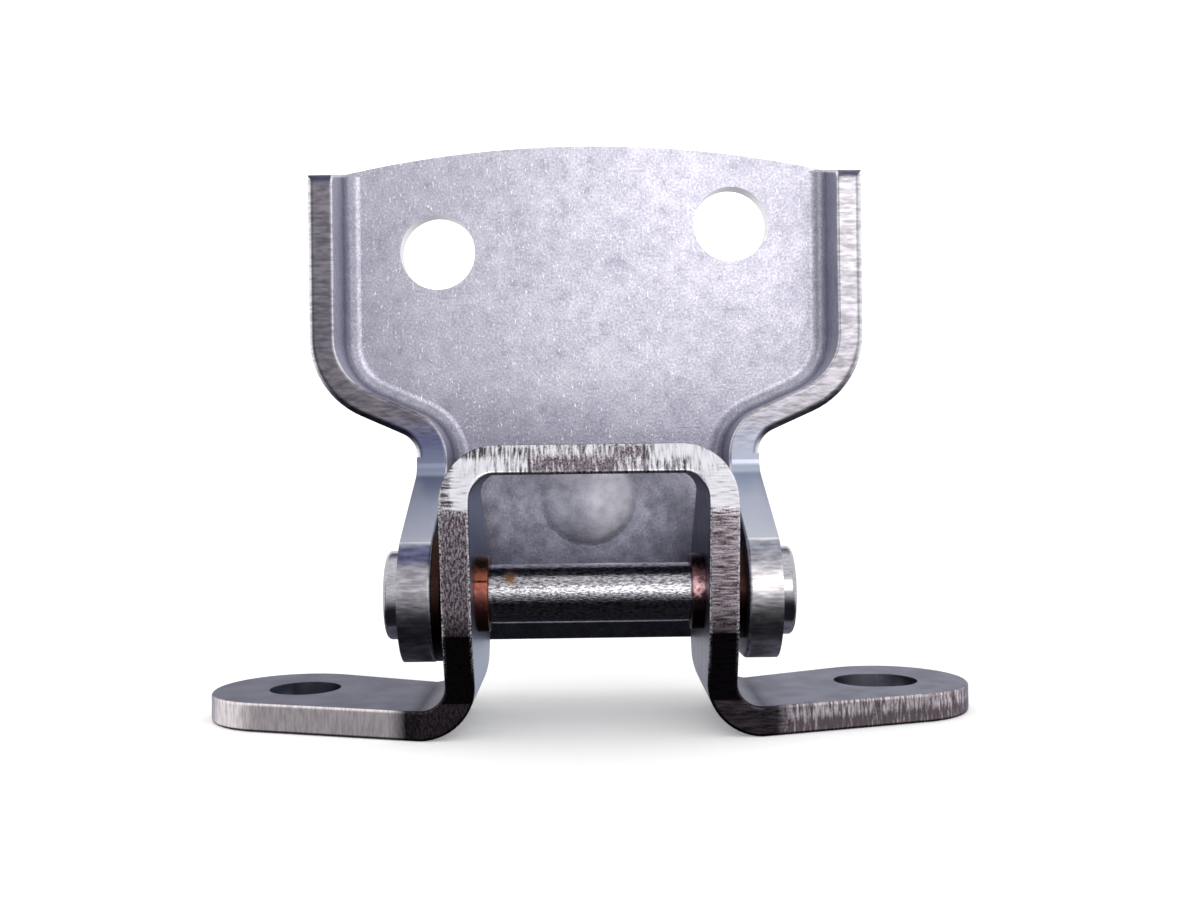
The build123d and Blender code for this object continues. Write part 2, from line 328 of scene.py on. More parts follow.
    def draw_skin(self, spot: Spot, level: Shade, patch: Shade, tone: Shade) -> Shade:
        """Colour the plating with smudges and scratches, and painted shade and patches low on the front.

        Args:
            spot: the point that is drawn.
            level: its share of the height.
            patch: noise of the patches.
            tone: the plating's tone.

        Returns:
            The node that gives the colour.
        """
        tree = spot.tree
        skin = add(tree, Kind.RAMP, {0: tone}, self.skin)
        smudged = add(tree, Kind.RANGE, {"Value": patch, "Ends": self.smudged})
        links = {"Vector": spot.point, "Rotation": self.scratch_turn, "Scale": self.scratch_stretch}
        line = add(tree, Kind.MAPPING, links)
        line = add(tree, Kind.NOISE, {"Vector": line, "Scale": per_mm(self.scratch_mm), "Detail": 2.0})
        scratched = add(tree, Kind.RANGE, {"Value": line, "Ends": self.scratched})
        for mask in (smudged, scratched):
            skin = add(tree, Kind.MIX, {0: mask, "A": skin, "B": linear(self.smudge)}, data_type="RGBA")
        shade = add(tree, Kind.RAMP, {0: level}, self.shade)
        low = add(tree, Kind.RANGE, {"Value": level, "Ends": self.worn_levels})
        patchy = add(tree, Kind.RANGE, {"Value": patch, "Ends": self.worn_patches})
        patchy = add(tree, Kind.MIX, {0: low, "A": 1.0, "B": patchy})
        front = add(tree, Kind.RANGE, {"Value": spot.turn[1], "Ends": self.front_turns})
        for tint in (shade, patchy):
            links = {0: front, "A": skin, "B": tint}
            skin = add(tree, Kind.MIX, links, data_type="RGBA", blend_type="MULTIPLY")
        return skin

    def draw_boss(self, spot: Spot, patch: Shade) -> Shade:
        """Paint a patchy highlight on the boss, stronger to the right of its upright ridge.

        Args:
            spot: the point that is drawn.
            patch: noise of the patches.

        Returns:
            The node that gives the share of painted highlight.
        """
        tree = spot.tree
        away = add(tree, Kind.MAPPING, {"Vector": spot.point, "Location": moved_to(self.boss_at_mm)})
        away = add(tree, Kind.LENGTH, {0: away}, operation="LENGTH").outputs["Value"]
        painted_boss_light = add(tree, Kind.RANGE, {"Value": away, "Ends": (metres(self.boss_mm), FULL)})
        ends = (metres(self.ridge_mm), self.ridge_light)
        right = add(tree, Kind.RANGE, {"Value": spot.at[0], "Ends": ends})
        # Patches in the painted highlight.
        patchy = add(tree, Kind.RANGE, {"Value": patch, "Ends": self.boss_patches})
        for share in (right, patchy):
            painted_boss_light = add(tree, Kind.MATH, {0: painted_boss_light, 1: share}, operation="MULTIPLY")
        return painted_boss_light

    def draw_glints(self, spot: Spot, level: Shade) -> Shade:
        """Strew short painted glints that lie three ways, fewer low down.

        Args:
            spot: the point that is drawn.
            level: its share of the height.

        Returns:
            The node that gives the share of painted glints.
        """
        tree = spot.tree
        glint = 0.0
        for angle in self.glint_turns:
            links = {"Vector": spot.point, "Rotation": (0.0, angle, 0.0), "Scale": self.glint_stretch}
            spark = add(tree, Kind.MAPPING, links)
            spark = add(tree, Kind.NOISE, {"Vector": spark, "Scale": per_mm(self.glint_mm), "Detail": 1.0})
            spark = add(tree, Kind.RANGE, {"Value": spark, "Ends": self.glint_from})
            glint = add(tree, Kind.MATH, {0: spark, 1: glint}, operation="MAXIMUM")
        open_face = add(tree, Kind.RANGE, {"Value": level, "Ends": self.glint_levels})
        return add(tree, Kind.MATH, {0: glint, 1: open_face}, operation="MULTIPLY")

    def draw_hole_walls(self, spot: Spot) -> Shade:
        """Find the punched walls of the two bolt holes.

        Args:
            spot: the point that is drawn.

        Returns:
            The node that gives one on the walls.
        """
        tree = spot.tree
        facing = add(tree, Kind.MATH, {0: spot.turn[1]}, operation="ABSOLUTE")
        wall = add(tree, Kind.RANGE, {"Value": facing, "Ends": self.wall_turns})
        inside = 0.0
        for middle in self.holes_at_mm:
            links = {"Vector": spot.point, "Location": moved_to(middle), "Scale": (1.0, 0.0, 1.0)}
            away = add(tree, Kind.MAPPING, links)
            away = add(tree, Kind.LENGTH, {0: away}, operation="LENGTH").outputs["Value"]
            near = add(tree, Kind.MATH, {0: away, 1: self.hole_mm * MM}, operation="LESS_THAN")
            inside = add(tree, Kind.MATH, {0: near, 1: inside}, operation="MAXIMUM")
        return add(tree, Kind.MATH, {0: wall, 1: inside}, operation="MULTIPLY")

    def draw_teeth(self, spot: Spot, level: Shade) -> Shade:
        """Roughen the sheared edge of the flanges and ears, and leave the arms between them smooth.

        Args:
            spot: the point that is drawn.
            level: its share of the height.

        Returns:
            The node that gives the edge's teeth.
        """
        tree = spot.tree
        tooth = add(tree, Kind.MAPPING, {"Vector": spot.point, "Scale": self.tooth_stretch})
        tooth = add(tree, Kind.NOISE, {"Vector": tooth, "Scale": per_mm(self.tooth_mm), "Detail": 3.0})
        flange = add(tree, Kind.RANGE, {"Value": level, "Ends": self.flange_levels})
        ear = add(tree, Kind.RANGE, {"Value": level, "Ends": self.ear_levels})
        torn = add(tree, Kind.MATH, {0: flange, 1: ear}, operation="ADD")
        return add(tree, Kind.MIX, {0: torn, "A": self.smooth_tooth, "B": tooth})

    def draw_bare(self, spot: Spot, level: Shade, tooth: Shade) -> Shade:
        """Colour the sheared edge, with painted shade on the left and painted light on the right.

        Args:
            spot: the point that is drawn.
            level: its share of the height.
            tooth: the edge's teeth.

        Returns:
            The node that gives the colour.
        """
        tree = spot.tree
        left = add(tree, Kind.RAMP, {0: level}, self.left_edge_light_and_shade)
        right = add(tree, Kind.RAMP, {0: level}, self.right_edge_light_and_shade)
        side = add(tree, Kind.MATH, {0: spot.at[0], 1: 0.0}, operation="GREATER_THAN")
        bare = add(tree, Kind.MIX, {0: side, "A": left, "B": right}, data_type="RGBA")
        fleck = add(tree, Kind.RANGE, {"Value": tooth, "Ends": self.flecks})
        return add(tree, Kind.MIX, {0: 1.0, "A": bare, "B": fleck}, data_type="RGBA", blend_type="MULTIPLY")

    def draw_cut(self, spot: Spot, near: Shade) -> Shade:
        """Find the sheared front edges of the flanges.

        Args:
            spot: the point that is drawn.
            near: one in the depth of those edges.

        Returns:
            The node that gives one on the edges.
        """
        tree = spot.tree
        aside = add(tree, Kind.MATH, {0: spot.turn[0]}, operation="ABSOLUTE")
        across = add(tree, Kind.RANGE, {"Value": aside, "Ends": self.cut_turns})
        return add(tree, Kind.MATH, {0: near, 1: across}, operation="MULTIPLY")

    def draw_rolled_edge(self, spot: Spot, near: Shade, tooth: Shade) -> Shade:
        """Find the rolled corners beside the sheared edges, notched by their teeth.

        Args:
            spot: the point that is drawn.
            near: one in the depth of those edges.
            tooth: the edge's teeth.

        Returns:
            The node that gives the share of burnishing and painted highlight.
        """
        tree = spot.tree
        rolled = add(tree, Kind.RANGE, {"Value": spot.turn[1], "Ends": self.rolled_turns})
        notched = add(tree, Kind.RANGE, {"Value": tooth, "Ends": self.notches})
        for share in (near, notched):
            rolled = add(tree, Kind.MATH, {0: rolled, 1: share}, operation="MULTIPLY")
        return rolled


@dataclass(frozen=True)
class StripMap:
    """Where a point lies on the bent strip, and the noises that the strip's patterns share.

    Args:
        side: one on the right half.
        aside: distance from the middle.
        high: one on the top bar.
        past: one on the feet.
        bend: from zero on a leg to one on the bar, round the bend.
        share: depth under the outer face, as a share of the strip.
        cloud: noise of the clouds.
        grain: noise of the grains.
    """

    side: Shade
    aside: Shade
    high: Shade
    past: Shade
    bend: Shade
    share: Shade
    cloud: Shade
    grain: Shade


@dataclass(frozen=True)
class ZincStrip(Finish):
    """Zinc-plated hot-rolled strip, sheared and bent.

    Its broad faces are a smooth blue grey, with painted shade on the left. Its sheared edge shows white
    lines across the strip where the punch burnished it, brightened by painted highlight, brown torn metal
    under them, purple-brown metal with bright grains on the legs, painted lighter on the right leg, painted
    shade below the knees, a pink cast on the left foot, which is painted lighter than the right, and a
    dotted painted highlight along the rim. Pairs for the legs and feet are left and right.
    """

    skin: Stops = ((0.38, "#737480"), (0.62, "#8E8F9B"))
    # Painted shade: multiplies the broad faces on the left.
    left_painted_shade: str = "#D6D4DA"
    left_wall: str = "#B4C2D2"
    graze: str = "#CDCDD6"
    # Up the height: both ramps are dark below the knees, painted shade on the bends that face down; the pale
    # one is near white on the bar, burnished metal with painted highlight.
    dull: Stops = (
        (0.11, "#282327"), (0.305, "#231E21"), (0.385, "#4C4249"), (0.63, "#564B53"), (0.66, "#59545B"),
    )
    pale: Stops = (
        (0.11, "#4C454B"), (0.305, "#463F44"), (0.385, "#B4A9B1"), (0.63, "#C4BAC2"), (0.66, "#F9F7FF"),
    )
    # Feet, left and right: the left foot is pink and painted lighter than the right, painted light.
    dull_feet: Tuple[str, str] = ("#EEDDE2", "#7E7178")
    pale_feet: Tuple[str, str] = ("#FFF6F8", "#E6DDE2")
    torn: Tuple[str, str] = ("#5C5258", "#A89EA6")
    # Painted highlight, dotted along the rim.
    rim: str = "#EDEBF0"
    mark: str = "#3F3A40"
    outer_burnish: Stops = (
        (0.18, "#A8A8A8"), (0.25, "#C0C0C0"), (0.54, "#CCCCCC"), (0.60, "#888888"), (0.66, "#888888"),
        (0.70, "#FFFFFF"),
    )
    inner_burnish: Stops = (
        (0.20, "#FFFFFF"), (0.33, "#B8B8B8"), (0.35, "#707070"), (0.58, "#747474"), (0.63, "#D2D2D2"),
        (0.77, "#BCBCBC"), (0.80, "#F8F8F8"),
    )
    strip_mm: float = 4.3
    height_mm: float = 42.0
    leg_mm: float = 20.95
    pin_mm: float = 20.0
    lean: float = math.tan(math.radians(1.0))
    level_mm: float = 50.0
    bar_mm: float = 50.0
    bar_from_mm: Pair = (32.6, 33.2)
    bend_mm: Pair = (-2.0, 1.0)
    foot_from_mm: Pair = (26.5, 29.0)
    foot_low_mm: Pair = (2.6, 1.6)
    left_from_mm: Pair = (-18.0, -24.0)
    wall_turns: Ends = ((0.5, 0.8), FULL)
    cloud_mm: float = 5.0
    grain_mm: float = 0.28
    grain_share: float = 0.4
    line_mm: float = 0.32
    slant_mm: float = 0.256
    slant_turn: float = 0.7
    upright_stretch: Point = (1.0, 0.15, 0.15)
    flat_stretch: Point = (0.15, 0.15, 1.0)
    slant_stretch: Point = (1.0, 1.0, 0.35)
    leg_grain: float = 0.35
    end_grain: float = 0.2
    contrast: float = 2.4
    half_ragged: float = 0.5
    half_from: Ends = ((0.60, 0.82), FULL)
    # Painted light on the sheared edge, left and right: paler on the right leg; on the feet, set by side and
    # by height.
    leg_light: Pair = (0.40, 0.54)
    foot_light: Pair = (0.76, 0.52)
    foot_swing: Pair = (0.4, -0.35)
    lit_from: Ends = ((0.25, 0.8), FULL)
    torn_from: Ends = ((0.35, 0.65), FULL)
    fine_lines: Ends = ((0.35, 0.6), (0.74, 1.0))
    witness_mm: Pair = (-8.5, 7.95)
    witness_fade_mm: float = 0.3
    witness_line_mm: Pair = (0.3, 0.1)
    witness_share: Pair = (0.0, 0.75)
    witness_relief: float = -0.6
    rim_outside: Ends = ((0.13, 0.05), FULL)
    rim_inside: Ends = ((0.88, 0.95), FULL)
    rim_dots: Ends = ((0.42, 0.6), (0.0, 0.8))
    rim_from_mm: Pair = (9.0, 11.0)
    cut_turns: Ends = ((0.25, 0.6), FULL)
    hole_at_mm: Pair = (44.8, 1.7)
    hole_mm: float = 7.2
    relief_share: float = 0.6
    relief_mm: float = 0.08
    face_rough: float = 0.33
    edge_rough: Pair = (0.45, 0.3)

    def sockets(self, spot: Spot) -> Mapping[str, Any]:
        """Draw the broad faces' clouds and the sheared edge's lines, grains and rim.

        Args:
            spot: the point that is drawn.

        Returns:
            What each input of the surface takes.
        """
        tree = spot.tree
        area = self.survey(spot)
        lines = self.draw_lines(spot, area)
        ends = add(tree, Kind.MATH, {0: area.high, 1: area.past}, operation="MAXIMUM")
        coarse = add(tree, Kind.MIX, {0: ends, "A": self.leg_grain, "B": self.end_grain})
        marks = add(tree, Kind.MIX, {0: coarse, "A": lines, "B": area.grain})
        links = {0: marks, 1: self.contrast, 2: -self.contrast / 2}
        lit = add(tree, Kind.MATH, links, operation="MULTIPLY_ADD")
        lit = add(tree, Kind.MATH, {0: lit, 1: self.draw_light(spot, area)}, operation="ADD")
        lit = add(tree, Kind.RANGE, {"Value": lit, "Ends": self.lit_from})
        between, witness = self.draw_witness(spot, area)
        edge = self.draw_metal(spot, area, between, lit)
        fine = add(tree, Kind.RANGE, {"Value": lines, "Ends": self.fine_lines})
        edge = add(tree, Kind.MIX, {0: 1.0, "A": edge, "B": fine}, data_type="RGBA", blend_type="MULTIPLY")
        for mask, code in ((witness, self.mark), (self.draw_rim(spot, area), self.rim)):
            edge = add(tree, Kind.MIX, {0: mask, "A": edge, "B": linear(code)}, data_type="RGBA")
        cut = self.draw_cut(spot, area)
        face = self.draw_face(spot, area)
        colour = add(tree, Kind.MIX, {0: cut, "A": face, "B": edge}, data_type="RGBA")
        relief = add(tree, Kind.MATH, {0: marks, 1: cut}, operation="MULTIPLY")
        links = {0: witness, 1: self.witness_relief, 2: relief}
        relief = add(tree, Kind.MATH, links, operation="MULTIPLY_ADD")
        links = {"Height": relief, "Strength": self.relief_share, "Distance": self.relief_mm * MM}
        bump = add(tree, Kind.BUMP, links)
        rough = add(tree, Kind.MIX, {0: lit, "A": self.edge_rough[0], "B": self.edge_rough[1]})
        rough = add(tree, Kind.MIX, {0: cut, "A": self.face_rough, "B": rough})
        return {
            "Base Color": colour, "Metallic": 1.0, "Roughness": rough, "Normal": bump,
            "Specular Tint": linear(self.graze),
        }

    def survey(self, spot: Spot) -> StripMap:
        """Find where the point lies on the strip.

        Args:
            spot: the point that is drawn.

        Returns:
            The masks, distances and noises there.
        """
        tree = spot.tree
        side = add(tree, Kind.MATH, {0: spot.at[0], 1: 0.0}, operation="GREATER_THAN")
        aside = add(tree, Kind.MATH, {0: spot.at[0]}, operation="ABSOLUTE")
        high = add(tree, Kind.RANGE, {"Value": spot.at[2], "Ends": (metres(self.bar_from_mm), FULL)})
        past = add(tree, Kind.RANGE, {"Value": aside, "Ends": (metres(self.foot_from_mm), FULL)})
        leg_at = (self.leg_mm - self.pin_mm * self.lean) * MM
        leg_face = add(tree, Kind.MATH, {0: spot.at[2], 1: self.lean, 2: leg_at}, operation="MULTIPLY_ADD")
        from_side = add(tree, Kind.MATH, {0: leg_face, 1: aside}, operation="SUBTRACT")
        from_top = add(tree, Kind.MATH, {0: self.height_mm * MM, 1: spot.at[2]}, operation="SUBTRACT")
        bend = add(tree, Kind.MATH, {0: from_side, 1: from_top}, operation="SUBTRACT")
        bend = add(tree, Kind.RANGE, {"Value": bend, "Ends": (metres(self.bend_mm), FULL)})
        share = add(tree, Kind.MATH, {0: from_top, 1: from_side}, operation="MINIMUM")
        share = add(tree, Kind.MATH, {0: share, 1: self.strip_mm * MM}, operation="DIVIDE")
        cloud = add(tree, Kind.NOISE, {"Vector": spot.point, "Scale": per_mm(self.cloud_mm), "Detail": 4.0})
        grain = add(tree, Kind.NOISE, {"Vector": spot.point, "Scale": per_mm(self.grain_mm), "Detail": 2.0})
        return StripMap(side, aside, high, past, bend, share, cloud, grain)

    def draw_face(self, spot: Spot, area: StripMap) -> Shade:
        """Colour the broad faces, with painted shade on the left, and bluer inside the left leg.

        Args:
            spot: the point that is drawn.
            area: where it lies on the strip.

        Returns:
            The node that gives the colour.
        """
        tree = spot.tree
        links = {0: area.grain, 1: self.grain_share, 2: -self.grain_share / 2}
        tone = add(tree, Kind.MATH, links, operation="MULTIPLY_ADD")
        tone = add(tree, Kind.MATH, {0: tone, 1: area.cloud}, operation="ADD")
        skin = add(tree, Kind.RAMP, {0: tone}, self.skin)
        left = add(tree, Kind.RANGE, {"Value": spot.at[0], "Ends": (metres(self.left_from_mm), FULL)})
        links = {0: left, "A": skin, "B": linear(self.left_painted_shade)}
        skin = add(tree, Kind.MIX, links, data_type="RGBA", blend_type="MULTIPLY")
        wall = add(tree, Kind.RANGE, {"Value": spot.turn[0], "Ends": self.wall_turns})
        wall = add(tree, Kind.MATH, {0: wall, 1: area.side}, operation="SUBTRACT", use_clamp=True)
        return add(tree, Kind.MIX, {0: wall, "A": skin, "B": linear(self.left_wall)}, data_type="RGBA")

    def draw_lines(self, spot: Spot, area: StripMap) -> Shade:
        """Draw the punch's lines: across the strip, but slanting on the left leg.

        Args:
            spot: the point that is drawn.
            area: where it lies on the strip.

        Returns:
            The node that gives the lines.
        """
        tree = spot.tree
        drawn = []
        for angle, stretch, width in (
            (0.0, self.upright_stretch, self.line_mm),
            (0.0, self.flat_stretch, self.line_mm),
            (self.slant_turn, self.slant_stretch, self.slant_mm),
        ):
            links = {"Vector": spot.point, "Rotation": (0.0, angle, 0.0), "Scale": stretch}
            lie = add(tree, Kind.MAPPING, links)
            drawn.append(add(tree, Kind.NOISE, {"Vector": lie, "Scale": per_mm(width), "Detail": 3.0}))
        upright, flat, slant = drawn
        legs = add(tree, Kind.MIX, {0: area.side, "A": slant, "B": flat})
        bar = add(tree, Kind.MIX, {0: area.bend, "A": flat, "B": upright})
        lines = add(tree, Kind.MIX, {0: area.high, "A": legs, "B": bar})
        return add(tree, Kind.MIX, {0: area.past, "A": lines, "B": upright})

    def draw_light(self, spot: Spot, area: StripMap) -> Shade:
        """Find how much of the edge is pale: burnished by halves on the bar, painted light by sides on the
        legs and feet.

        Args:
            spot: the point that is drawn.
            area: where it lies on the strip.

        Returns:
            The node that gives the share of burnishing and painted light.
        """
        tree = spot.tree
        links = {0: spot.at[0], 1: 1 / (self.bar_mm * MM), 2: 0.5}
        along = add(tree, Kind.MATH, links, operation="MULTIPLY_ADD")
        outer = add(tree, Kind.RAMP, {0: along}, self.outer_burnish)
        inner = add(tree, Kind.RAMP, {0: along}, self.inner_burnish)
        links = {0: area.cloud, 1: self.half_ragged, 2: area.share}
        half = add(tree, Kind.MATH, links, operation="MULTIPLY_ADD")
        half = add(tree, Kind.RANGE, {"Value": half, "Ends": self.half_from})
        bar = add(tree, Kind.MIX, {0: half, "A": outer, "B": inner}, data_type="RGBA")
        legs, feet, swing = (
            add(tree, Kind.MIX, {0: area.side, "A": left, "B": right})
            for left, right in (self.leg_light, self.foot_light, self.foot_swing)
        )
        low = add(tree, Kind.RANGE, {"Value": spot.at[2], "Ends": (metres(self.foot_low_mm), FULL)})
        feet = add(tree, Kind.MATH, {0: low, 1: swing, 2: feet}, operation="MULTIPLY_ADD")
        light = add(tree, Kind.MIX, {0: area.high, "A": legs, "B": bar})
        return add(tree, Kind.MIX, {0: area.past, "A": light, "B": feet})

    def draw_witness(self, spot: Spot, area: StripMap) -> Tuple[Shade, Shade]:
        """Find the two upright witness lines of the punch on the bar.

        Args:
            spot: the point that is drawn.
            area: where it lies on the strip.

        Returns:
            The nodes that give one between the lines, and the share of the lines themselves.
        """
        tree = spot.tree
        left, right = metres(self.witness_mm)
        half = (right - left) / 2
        off = add(tree, Kind.MATH, {0: spot.at[0], 1: (left + right) / 2}, operation="SUBTRACT")
        off = add(tree, Kind.MATH, {0: off}, operation="ABSOLUTE")
        fade = (half + self.witness_fade_mm * MM, half)
        between = add(tree, Kind.RANGE, {"Value": off, "Ends": (fade, FULL)})
        beside = add(tree, Kind.MATH, {0: off, 1: half}, operation="SUBTRACT")
        beside = add(tree, Kind.MATH, {0: beside}, operation="ABSOLUTE")
        ends = (metres(self.witness_line_mm), self.witness_share)
        line = add(tree, Kind.RANGE, {"Value": beside, "Ends": ends})
        between = add(tree, Kind.MATH, {0: between, 1: area.high}, operation="MULTIPLY")
        line = add(tree, Kind.MATH, {0: line, 1: area.high}, operation="MULTIPLY")
        return between, line

    def draw_metal(self, spot: Spot, area: StripMap, between: Shade, lit: Shade) -> Shade:
        """Colour the edge's metal, from dull to pale, torn between the witness lines, with painted shade
        below the knees and the left foot painted lighter.

        Args:
            spot: the point that is drawn.
            area: where it lies on the strip.
            between: one between the witness lines.
            lit: the share of pale metal.

        Returns:
            The node that gives the colour.
        """
        tree = spot.tree
        level = add(tree, Kind.MATH, {0: spot.at[2], 1: self.level_mm * MM}, operation="DIVIDE")
        dull = add(tree, Kind.RAMP, {0: level}, self.dull)
        pale = add(tree, Kind.RAMP, {0: level}, self.pale)
        dark, light = [linear(code) for code in self.torn]
        torn = add(tree, Kind.RANGE, {"Value": area.grain, "Ends": self.torn_from})
        torn = add(tree, Kind.MIX, {0: torn, "A": dark, "B": light}, data_type="RGBA")
        dull = add(tree, Kind.MIX, {0: between, "A": dull, "B": torn}, data_type="RGBA")
        metals = []
        for metal, codes in ((dull, self.dull_feet), (pale, self.pale_feet)):
            left, right = [linear(code) for code in codes]
            foot = add(tree, Kind.MIX, {0: area.side, "A": left, "B": right}, data_type="RGBA")
            metals.append(add(tree, Kind.MIX, {0: area.past, "A": metal, "B": foot}, data_type="RGBA"))
        return add(tree, Kind.MIX, {0: lit, "A": metals[0], "B": metals[1]}, data_type="RGBA")

    def draw_rim(self, spot: Spot, area: StripMap) -> Shade:
        """Dot a painted highlight along the edge's outer and inner rim, above the feet.

        Args:
            spot: the point that is drawn.
            area: where it lies on the strip.

        Returns:
            The node that gives the share of painted highlight.
        """
        tree = spot.tree
        outside = add(tree, Kind.RANGE, {"Value": area.share, "Ends": self.rim_outside})
        inside = add(tree, Kind.RANGE, {"Value": area.share, "Ends": self.rim_inside})
        rim = add(tree, Kind.MATH, {0: outside, 1: inside}, operation="ADD")
        dots = add(tree, Kind.RANGE, {"Value": area.grain, "Ends": self.rim_dots})
        leg = add(tree, Kind.RANGE, {"Value": spot.at[2], "Ends": (metres(self.rim_from_mm), FULL)})
        for share in (dots, leg):
            rim = add(tree, Kind.MATH, {0: rim, 1: share}, operation="MULTIPLY")
        return rim

    def draw_cut(self, spot: Spot, area: StripMap) -> Shade:
        """Find the sheared edges, which face front and back outside the bolt holes.

        Args:
            spot: the point that is drawn.
            area: where it lies on the strip.

        Returns:
            The node that gives one on the edges.
        """
        tree = spot.tree
        facing = add(tree, Kind.MATH, {0: spot.turn[1]}, operation="ABSOLUTE")
        cut = add(tree, Kind.RANGE, {"Value": facing, "Ends": self.cut_turns})
        hole_x, hole_y = metres(self.hole_at_mm)
        off_x = add(tree, Kind.MATH, {0: area.aside, 1: hole_x}, operation="SUBTRACT")
        off_y = add(tree, Kind.MATH, {0: spot.at[1], 1: hole_y}, operation="SUBTRACT")
        off_y = add(tree, Kind.MATH, {0: off_y, 1: 2.0}, operation="POWER")
        away = add(tree, Kind.MATH, {0: off_x, 1: off_x, 2: off_y}, operation="MULTIPLY_ADD")
        away = add(tree, Kind.MATH, {0: away, 1: (self.hole_mm * MM) ** 2}, operation="GREATER_THAN")
        return add(tree, Kind.MATH, {0: cut, 1: away}, operation="MULTIPLY")


@dataclass(frozen=True)
class DrawnBar(Finish):
    """Bright drawn steel bar, zinc plated.

    It is nearly a mirror, with fine grain along the bar that breaks the reflection into sparks, calmer on
    the riveted heads, and one rust spot.
    """

    tone: Stops = ((0.36, "#66646C"), (0.62, "#D2D1D8"))
    rust: str = "#9A6B40"
    grain_mm: float = 0.26
    grain_stretch: Point = (0.4, 1.0, 1.0)
    head_from_mm: Pair = (25.0, 28.0)
    head_share: Pair = (0.0, 0.8)
    head_grain: float = 0.55
    rust_at_mm: Point = (-11.6, 0.0, 22.6)
    rust_mm: Pair = (1.82, 1.04)
    rust_share: Pair = (0.0, 0.8)
    rust_ragged_mm: float = 1.2
    relief_share: float = 0.75
    relief_mm: float = 0.05
    rough: Pair = (0.2, 0.55)

    def sockets(self, spot: Spot) -> Mapping[str, Any]:
        """Draw the grain and the rust spot.

        Args:
            spot: the point that is drawn.

        Returns:
            What each input of the surface takes.
        """
        tree = spot.tree
        grain = add(tree, Kind.MAPPING, {"Vector": spot.point, "Scale": self.grain_stretch})
        grain = add(tree, Kind.NOISE, {"Vector": grain, "Scale": per_mm(self.grain_mm), "Detail": 3.0})
        aside = add(tree, Kind.MATH, {0: spot.at[0]}, operation="ABSOLUTE")
        head = add(tree, Kind.RANGE, {"Value": aside, "Ends": (metres(self.head_from_mm), self.head_share)})
        grain = add(tree, Kind.MIX, {0: head, "A": grain, "B": self.head_grain})
        colour = add(tree, Kind.RAMP, {0: grain}, self.tone)
        links = {"Vector": spot.point, "Location": moved_to(self.rust_at_mm), "Scale": (1.0, 0.0, 1.0)}
        away = add(tree, Kind.MAPPING, links)
        away = add(tree, Kind.LENGTH, {0: away}, operation="LENGTH").outputs["Value"]
        links = {0: grain, 1: self.rust_ragged_mm * MM, 2: away}
        away = add(tree, Kind.MATH, links, operation="MULTIPLY_ADD")
        rust = add(tree, Kind.RANGE, {"Value": away, "Ends": (metres(self.rust_mm), self.rust_share)})
        colour = add(tree, Kind.MIX, {0: rust, "A": colour, "B": linear(self.rust)}, data_type="RGBA")
        links = {"Height": grain, "Strength": self.relief_share, "Distance": self.relief_mm * MM}
        bump = add(tree, Kind.BUMP, links)
        rough = add(tree, Kind.RANGE, {"Value": rust, "Ends": (self.rust_share, self.rough)})
        return {"Base Color": colour, "Metallic": 1.0, "Roughness": rough, "Normal": bump}


@dataclass(frozen=True)
class OiledBronze(Finish):
    """Bronze rolled from strip and darkened by oil: a dull red brown.

    The tones run up the piece by height; the bushes' tones paint a bright copper highlight band a little
    above the pin's axis, with darker brown below and above it.
    """

    tone: Stops
    grain_mm: float = 0.6
    height_mm: float = 40.0
    stray: float = 0.12
    relief_share: float = 0.4
    relief_mm: float = 0.05
    rough: Ends = ((0.3, 0.7), (0.5, 0.28))

    def sockets(self, spot: Spot) -> Mapping[str, Any]:
        """Draw worn and oily patches.

        Args:
            spot: the point that is drawn.

        Returns:
            What each input of the surface takes.
        """
        tree = spot.tree
        grain = add(tree, Kind.NOISE, {"Vector": spot.point, "Scale": per_mm(self.grain_mm), "Detail": 4.0})
        links = {0: spot.at[2], 1: 1 / (self.height_mm * MM), 2: -self.stray / 2}
        level = add(tree, Kind.MATH, links, operation="MULTIPLY_ADD")
        level = add(tree, Kind.MATH, {0: grain, 1: self.stray, 2: level}, operation="MULTIPLY_ADD")
        colour = add(tree, Kind.RAMP, {0: level}, self.tone)
        links = {"Height": grain, "Strength": self.relief_share, "Distance": self.relief_mm * MM}
        bump = add(tree, Kind.BUMP, links)
        rough = add(tree, Kind.RANGE, {"Value": grain, "Ends": self.rough})
        return {"Base Color": colour, "Metallic": 1.0, "Roughness": rough, "Normal": bump}


@dataclass
class SubAssembly:
    """Nodes of one body and the finish that each takes."""

    body: Body
    finishes: Mapping[str, Finish]

    def dress(self) -> None:
        """Give each node its finish and report it."""
        for node, finish in self.finishes.items():
            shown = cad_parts[node]
            shown.data.materials.clear()
            shown.data.materials.append(finish.build())
            LOG.info("%s on %s: %s", node, self.body.value, finish.name)


@dataclass
class PillarBracket(SubAssembly):
    """Hat-shaped bracket bent from one strip, with a bush in each leg."""

    body: Body = Body.BRACKET
    finishes: Mapping[str, Finish] = field(default_factory=lambda: {
        "body_leaf": ZincStrip("zinc_plated_sheared_strip"),
        # The bushes' tones paint a bright copper highlight band a little above the pin's axis.
        "left_bush": OiledBronze("oiled_rolled_bronze_painted_highlight", (
            (0.38, "#4A2F2C"), (0.45, "#8A514A"), (0.52, "#8F574E"), (0.56, "#B4694F"), (0.59, "#A5604B"),
            (0.62, "#6B4944"),
        )),
        "right_bush": OiledBronze("rolled_bronze_painted_highlight", (
            (0.40, "#3A292C"), (0.49, "#5A3E42"), (0.51, "#C8989A"), (0.54, "#E0BABE"), (0.56, "#8C6266"),
            (0.61, "#463438"),
        )),
    })


